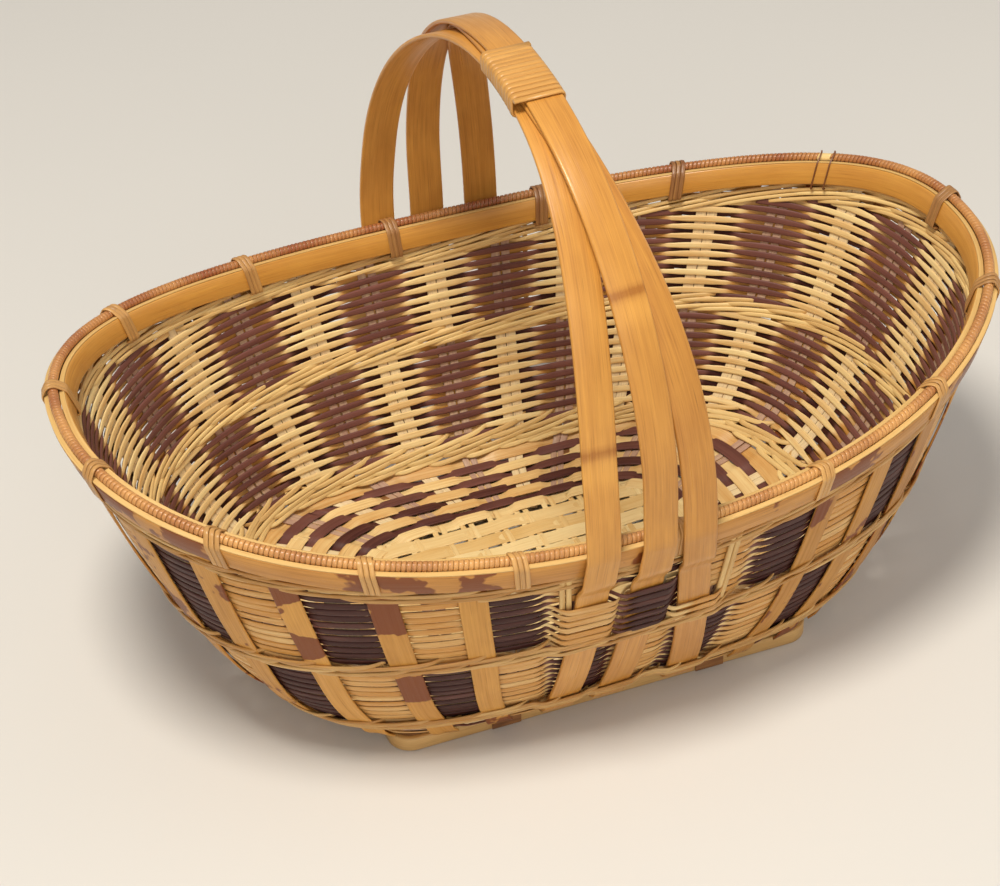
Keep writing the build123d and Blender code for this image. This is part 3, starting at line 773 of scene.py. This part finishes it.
fillers = Strands()
for share in filler_places:
    z = stake_heights(share, middle_z - 0.004, hoop_bottom + 0.002, 30)
    points, climb, normal = wall(share, z, 0.0026)
    fillers.add(points, np.cross(normal, climb), normal, 0.0028, 0.0016, SPLINT)
fillers.piece("filler_canes", pale_cane, slot="pale_cane")

# Rim
# Two flat bamboo hoops clamp the top of the wall. A cane core lies in the groove above them, wound with fine
# reddish cane, and lashings of three turns bind hoops and core.

hoop_bamboo = fibre_material("hoop_bamboo", "DDA24A", "B5742A", "7C4E1B", 0.33, fine=0.8, coat=0.25)
hoop_patched = fibre_material(
    "hoop_patched", "D79B4A", "A1662A", "75491C", 0.4, "773811", 0.51, 0.8, 0.12, spot=24.0, shine=0.4
)
hoop_cut = fibre_material("hoop_cut_edge", "E2BC78", "C39650", "9A7038", 0.5)
fine_cane = fibre_material("fine_cane", "D9A05C", "96532F", "6B3A22", 0.34, fine=1.6, coat=0.2)
lashing_cane = fibre_material("lashing_cane", "D6A35E", "7A4A2A", "522F18", 0.38, fine=1.2, coat=0.15)
hoop_inner = 0.0023
hoop_thickness = 0.0030


def rim_spot(share):
    """X and Y of the core's centre."""
    x, y, run = measured[4]
    return np.interp(share % 1.0, run, x), np.interp(share % 1.0, run, y)


def rim_frame(share):
    """The core's centre with the level direction out of the wall."""
    x, y = rim_spot(share)
    centre = np.stack([x, y, rim_z(x)], axis=-1)
    ahead_x, ahead_y = rim_spot(share + 1e-3)
    back_x, back_y = rim_spot(share - 1e-3)
    level = unit(np.stack([ahead_y - back_y, back_x - ahead_x, 0 * x], axis=-1))
    return centre, level


def level_place(share, drop, out):
    """A place at a height from the core's centre and a level distance from the wall's middle."""
    centre, level = rim_frame(share)
    return wall_middle(share, centre[..., 2] + drop) + level * np.asarray(out)[..., None], level


hoop_share = np.linspace(0, 1, 480, endpoint=False)
inner_rise = 0.0012
for name, sign, raised, material, slot_name in (
    ("rim_outer_hoop", 1, 0.0, hoop_patched, "patched_bamboo"),
    ("rim_inner_hoop", -1, inner_rise, hoop_bamboo, "hoop_bamboo"),
):
    hoop = Strands()
    out = sign * (hoop_inner + hoop_thickness / 2) + wander(hoop_share, 0.0001, 5)
    middle, level = level_place(hoop_share, (hoop_top + hoop_bottom) / 2 + raised, out)
    high, level = level_place(hoop_share, hoop_top + raised, out)
    upward = unit(high - middle)
    through = unit(np.cross(travel(middle, True), upward))
    hoop.add(middle, upward, through, hoop_top - hoop_bottom, hoop_thickness, FLAT, True, 0.4)
    hoop.piece(name + "_strip", material, name, slot=slot_name)
    edge = Strands()
    edge.add(high + upward * 0.0001, upward, through, 0.0008, hoop_thickness - 0.0006, FLAT, True, 0.3)
    edge.piece(name + "_cut_edge", hoop_cut, name, slot=slot_name)

bare_from, bare_to = 0.0712, 0.0774
core = Strands()
rim_share = np.linspace(0, 1, 960, endpoint=False)
centre, level = rim_frame(rim_share)
core_width = 0.0034 + 0.0013 * near(rim_share, (bare_from + bare_to) / 2, 0.0032, 0.0004)
core.add(centre, np.broadcast_to(UP, centre.shape), level, core_width, core_width, ROUND, True, 0.0)
core.piece("rim_core_cane", pale_cane, "rim_core", slot="pale_cane")

winding = Strands()
winding_turns = 540
turn_steps = 11
winding_out = 0.0021
winding_cane = (0.0021, 0.0008)
t = np.linspace(bare_to, 1 + bare_from, winding_turns * turn_steps)
centre, level = rim_frame(t)
angle = 2 * math.pi * winding_turns * t + 0.5 * np.sin(2 * math.pi * 7 * t)
swing = level * np.cos(angle)[:, None] + UP * np.sin(angle)[:, None]
line = centre + swing * winding_out
far_part = 0.5 + 0.5 * np.sin(2 * math.pi * t)
winding_tone = 0.15 + 0.8 * far_part + 0.3 * np.sin(2 * math.pi * 23 * t)
winding.add(line, travel(centre, False), swing, *winding_cane, SPLINT, False, winding_tone)
winding.piece("rim_winding_cane", fine_cane, "rim_winding", slot="fine_cane")

lashing_places = (
    (0, 0.0067),
    (2, 0.1396),
    (3, 0.2021),
    (4, 0.2718),
    (6, 0.4109),
    (7, 0.48),
    (11, 0.6983),
    (16, 1.0067),
)


def lashing_share(k):
    """The share at which a lashing stands, even between the places that are set."""
    return np.interp(k, *zip(*lashing_places)) % 1.0


def rounded(a, corner, b, steps=5):
    """Points from a to b that round a corner off."""
    return [(1 - t) ** 2 * a + 2 * t * (1 - t) * corner + t**2 * b for t in np.linspace(0, 1, steps)]


def rounded_loop(corners, bend=0.0016):
    """A closed line round corners, each rounded off."""
    points = []
    count = len(corners)
    for i in range(count):
        before, here, after = corners[i - 1], corners[i], corners[(i + 1) % count]
        a = here + (before - here) * min(bend / np.linalg.norm(before - here), 0.48)
        b = here + (after - here) * min(bend / np.linalg.norm(after - here), 0.48)
        points += rounded(a, here, b)
    return np.array(points)


end_part = 0.72
side_tones = {"front": 0.1, "back": 0.25, "left": 0.3, "right": 0.6}
far_reddish_tone = 0.9
worn_tone = 2.2
whole_cane = (0.0023, 0.0009)
worn_cane = (0.0008, 0.0006)
cane_step = 0.0024
cane_clear = 0.0007
cane_out = hoop_inner + hoop_thickness + cane_clear
lashing_count = 16
worn_lashing = 1
reddish_from = -0.03


def side_of(x, y):
    """The side of the basket that a lashing belongs to."""
    if abs(x) > rim_half[0] * end_part:
        return "right" if x > 0 else "left"
    return "back" if y > 0 else "front"


sides = {name: Strands() for name in side_tones}
for k in range(lashing_count):
    share = lashing_share(k)
    x, y = wall_middle(share, near_rim)[:2]
    side_name = side_of(x, y)
    length = girth_at(share, near_rim)
    worn = k == worn_lashing
    for turn in (-1.3, 1.6) if worn else (-1, 0, 1):
        spot = share + turn * cane_step / length
        corners = []
        for drop, out in (
            (0.0031, -0.0017),
            (0.0031, 0.0017),
            (hoop_top + 0.0002, cane_out),
            (hoop_bottom - cane_clear, cane_out),
            (hoop_bottom - 0.0022, 0.0),
            (hoop_bottom - cane_clear, -cane_out),
            (hoop_top + inner_rise + 0.0002, -cane_out),
        ):
            place, level = level_place(spot + (0.0009 / length if out > 0 else 0), drop, out)
            corners.append(place)
        loop = rounded_loop(corners)
        run = travel(loop, True)
        ahead = np.array([-level[1], level[0], 0.0])
        sideways = unit(np.broadcast_to(ahead, loop.shape) - run * (run @ ahead)[:, None])
        cane = worn_cane if worn else whole_cane
        tone = side_tones[side_name]
        if worn:
            tone = worn_tone
        elif side_name == "back" and x > reddish_from:
            tone = far_reddish_tone
        tone = tone + dice.uniform(-0.15, 0.15)
        sides[side_name].add(loop, sideways, unit(np.cross(run, sideways)), *cane, SPLINT, True, tone)
for side_name, strands in sides.items():
    strands.piece(f"lashings_{side_name}", lashing_cane, f"rim_lashings_{side_name}", slot="lashing_cane")

# Handle
# Three split bamboo straps rise from the foot, pass over the rim and are gathered on each other at the top,
# where fine cane is wound round them. Each strap has the nodes of the bamboo that it was split from.

strap_bamboo = fibre_material("strap_bamboo", "DDA04B", "A96B27", "6A4118", 0.34, fine=0.75, coat=0.15)
gathered = (-0.0142, -0.0103, -0.0116)
stack_order = (-1, 1, 0)
stack_step = 0.0025
handle_height = 0.1738
arch_fullness = (2.22, 2.12)
arch_lean = 0.015
gather_power = 2.1
arch_steps = 280
rim_start = rim_low_z + hoop_top
strap_over_rim = 0.0082
strap_nodes = ((0.085,), (0.22,), ())


def side_run(foot_x, end_x, near_side):
    """A strap's way up the wall, where it comes out from the weave and over the rim."""
    z = np.linspace(foot_z + 0.001, rim_start, 60)
    x = strap_x(foot_x, end_x, z)
    lift = rim_start - (hoop_top - hoop_bottom) - 0.004
    out = strap_on_wall + (strap_over_rim - strap_on_wall) * smooth((z - lift) / 0.012 + 1)
    share = share_at(x, near_side, z)
    ahead = way_round(share, z)
    level = unit(np.stack([ahead[:, 1], -ahead[:, 0], 0 * z], axis=-1))
    place = wall_middle(share, z) + level * out[:, None]
    return np.stack([x, place[:, 1], z], axis=-1)


def arch_point(index, angle):
    """Spots over the top, before the straps are laid on each other. The angle runs from near to far."""
    near_x, far_x, top_x = near_feet[index], far_feet[index], gathered[index]
    start = np.array([rim_start])
    y0 = wall_middle(share_at(np.array([near_x]), True, start), start)[0, 1]
    c, s = np.cos(angle), np.sin(angle)
    power = np.where(c > 0, 2 / arch_fullness[0], 2 / arch_fullness[1])
    y = -(abs(y0) + strap_over_rim) * np.sign(c) * np.abs(c) ** power - arch_lean * s**3
    x = top_x + (np.where(c > 0, near_x, far_x) - top_x) * np.abs(c) ** gather_power
    return np.stack([x, y, rim_start + handle_height * s**power], axis=-1)


def arch_run(index):
    """A strap's way over the top, with the three laid on each other where they are gathered."""
    step = math.pi / arch_steps
    angle = step * np.arange(1, arch_steps)
    points = arch_point(index, angle)
    run = arch_point(index, angle + step / 2) - arch_point(index, angle - step / 2)
    over = unit(np.stack([0 * run[:, 0], -run[:, 2], run[:, 1]], axis=-1))
    stack = stack_order[index] * stack_step * smooth((points[:, 2] - rim_start - 0.008) / 0.044)
    return points + over * stack[:, None]


for index, name in enumerate(("left", "middle", "right")):
    near_run = side_run(near_feet[index], near_ends[index], True)
    far_run = side_run(far_feet[index], far_ends[index], False)
    line = np.concatenate([near_run, arch_run(index), far_run[::-1]])
    run = travel(line, False)
    side = unit(np.array([1.0, 0.0, 0.0]) - run * run[:, :1])
    strap = Strands()
    node, bloom = np.zeros(len(line)), np.zeros(len(line))
    for place in strap_nodes[index]:
        away = np.arange(len(line)) - len(near_run) - arch_steps * place
        node += np.exp(-((away / 1.3) ** 2))
        bloom += np.exp(-(((away + 5) / 3.5) ** 2))
    thick = strap_thickness + 0.0003 * node
    grown = np.clip((np.arange(len(line)) - len(near_run)) / arch_steps, 0, 1)
    width = strap_width + (strap_root_width - strap_width) * grown
    tone = 0.3 + 0.15 * index + 1.1 * node - 0.4 * bloom
    strap.add(line, side, unit(np.cross(run, side)), width, thick, FLAT, False, tone)
    strap.piece(f"strap_{name}", strap_bamboo, f"handle_strap_{name}", slot="strap_bamboo")

golden_cane = fibre_material("golden_cane", "E4B062", "AF7633", "744719", 0.34, fine=1.4, coat=0.2)
binding = Strands()
binding_cane = 0.0033
binding_turns = 12
binding_bend = 0.0026
binding_angle = np.array([math.pi * 0.475])
ahead = arch_point(1, binding_angle + 0.05) - arch_point(1, binding_angle - 0.05)
ahead = unit(ahead[0] * [0.0, 1.0, 1.0])
lifted = np.array([0.0, -ahead[2], ahead[1]])
origin = arch_point(1, binding_angle)[0] * [0.0, 1.0, 1.0]
half_bundle = strap_width * 0.54


def bundle(spot):
    """Low and high X and height of the three straps together, at a spot along the binding."""
    ends = []
    for index in range(3):
        line = (arch_run(index) - origin)[arch_steps // 4 : -arch_steps // 4]
        x = np.interp(spot, line @ ahead, line[:, 0])
        z = np.interp(spot, line @ ahead, line @ lifted)
        ends.append((x - half_bundle, x + half_bundle, z - strap_thickness / 2, z + strap_thickness / 2))
    ends = np.array(ends)
    return (ends[:, 0].min(), ends[:, 1].max()), (ends[:, 2].min(), ends[:, 3].max())


corners = []
for i in range(4 * binding_turns + 2):
    spot = binding_cane * (i / 4 - binding_turns / 2)
    across_ends, height_ends = bundle(spot)
    right, top = ((0, 1), (1, 1), (1, 0), (0, 0))[i % 4]
    x = across_ends[right] + (0.0008 if right else -0.0008)
    z = height_ends[top] + (0.0009 if top else -0.0009)
    corners.append(origin + ahead * spot + lifted * z + np.array([x, 0.0, 0.0]))
line = [corners[0]]
for before, here, after in zip(corners, corners[1:], corners[2:]):
    a = here + unit(before - here) * binding_bend
    b = here + unit(after - here) * binding_bend
    line += rounded(a, here, b)
line.append(corners[-1])
line = np.array(line)
run = travel(line, False)
side = unit(ahead - run * (run @ ahead)[:, None])
binding.add(line, side, unit(np.cross(run, side)), binding_cane - 0.0001, 0.0013, SPLINT)
binding.piece("handle_binding_cane", golden_cane, "handle_binding", slot="fine_cane")

# Pegs and ties of the foot
# A round pale peg stands in each corner of the foot, and flat loops of brown cane go round its strips. Both
# keep the shape of the solids and take a grain in their own space.


def solid_material(name, pale, deep, rough):
    """A grain that runs along X in the piece's own space."""
    r = Recipe(name)
    place = r.node("TexCoord").outputs["Object"]
    stretched = r.node("Mapping", {"Vector": place, "Scale": (60.0, 900.0, 400.0)}).outputs["Vector"]
    grain = r.node("TexNoise", {"Vector": stretched, "Scale": 1.0, "Detail": 4.0}).outputs["Fac"]
    shade = r.mix(r.range(grain, 0.35, 0.68), colour(pale), colour(deep))
    r.tree.links.new(shade, r.shader.inputs["Base Color"])
    r.tree.links.new(r.range(grain, 0.3, 0.7, rough - 0.06, rough + 0.1), r.shader.inputs["Roughness"])
    bump = r.node("Bump", {"Height": grain, "Strength": 0.3, "Distance": 0.0003})
    r.tree.links.new(bump.outputs["Normal"], r.shader.inputs["Normal"])
    return r.material


peg_wood = solid_material("peg_wood", "D8B67A", "A87C43", 0.5)
tie_cane = solid_material("tie_cane", "9C6A3C", "6A4123", 0.45)
for node, material in (("foot_pegs", peg_wood), ("foot_ties", tie_cane)):
    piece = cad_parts[node]
    piece.data.materials.clear()
    piece.data.materials.append(material)

# Stage
# A plain pale floor under soft studio light: a lamp above, a fill beside the camera and a weak one from the
# right. The camera stands where the photograph was taken from.

floor_mesh = bpy.data.meshes.new("studio_floor")
studio_reach = 6.0
floor_corners = [(sx * studio_reach, sy * studio_reach, 0) for sx, sy in ((-1, -1), (1, -1), (1, 1), (-1, 1))]
floor_mesh.from_pydata(floor_corners, [], [(0, 1, 2, 3)])
studio_floor = bpy.data.objects.new("studio_floor", floor_mesh)
bpy.context.scene.collection.objects.link(studio_floor)
studio_floor.location.z = -0.0003
r = Recipe("studio_floor")
place = r.node("TexCoord").outputs["Object"]
cloud = r.node("TexNoise", {"Vector": place, "Scale": 2.0, "Detail": 2.0}).outputs["Fac"]
r.tree.links.new(r.mix(cloud, colour("D9D6D1"), colour("DEDBD6")), r.shader.inputs["Base Color"])
r.shader.inputs["Roughness"].default_value = 0.75
floor_mesh.materials.append(r.material)


def area_light(name, place, aim, size, watts, tint):
    """A round soft lamp."""
    light = bpy.data.lights.new(name, "AREA")
    light.shape = "DISK"
    light.size = size
    light.energy = watts
    light.color = tint
    lamp = bpy.data.objects.new(name, light)
    lamp.location = place
    lamp.rotation_euler = (Vector(aim) - Vector(place)).to_track_quat("-Z", "Y").to_euler()
    bpy.context.scene.collection.objects.link(lamp)


middle_of_basket = (0.0, 0.0, 0.1)
area_light("key", (-0.5, -0.5, 2.2), middle_of_basket, 0.6, 42.0, (1.0, 0.94, 0.84))
area_light("fill", (-0.5, -2.3, 1.2), middle_of_basket, 1.6, 15.0, (1.0, 0.94, 0.85))
area_light("side", (2.0, -0.4, 1.1), middle_of_basket, 1.2, 6.0, (1.0, 0.95, 0.88))

world = bpy.data.worlds.new("studio")
world.use_nodes = True
world.node_tree.nodes["Background"].inputs["Color"].default_value = (1.0, 0.98, 0.95, 1.0)
world.node_tree.nodes["Background"].inputs["Strength"].default_value = 0.35
bpy.context.scene.world = world
bpy.context.scene.view_settings.view_transform = "Standard"

camera_place = Vector((-0.32905, -0.89583, 0.81750))
camera_azimuth = -0.3331
camera_elevation = 0.6496
camera_roll = -0.0420
focal_share = 2.399
sensor_width = 36.0
back = Vector(
    (
        math.sin(camera_azimuth) * math.cos(camera_elevation),
        -math.cos(camera_azimuth) * math.cos(camera_elevation),
        math.sin(camera_elevation),
    )
)
right = (-back).cross(Vector((0, 0, 1))).normalized()
above = right.cross(-back)
across = math.cos(camera_roll) * right + math.sin(camera_roll) * above
above = math.cos(camera_roll) * above - math.sin(camera_roll) * right
camera_data = bpy.data.cameras.new("camera")
camera_data.sensor_width = sensor_width
camera_data.lens = sensor_width * focal_share
camera = bpy.data.objects.new("camera", camera_data)
camera.matrix_world = Matrix.Translation(camera_place) @ Matrix((across, above, back)).transposed().to_4x4()
bpy.context.scene.collection.objects.link(camera)
bpy.context.scene.camera = camera
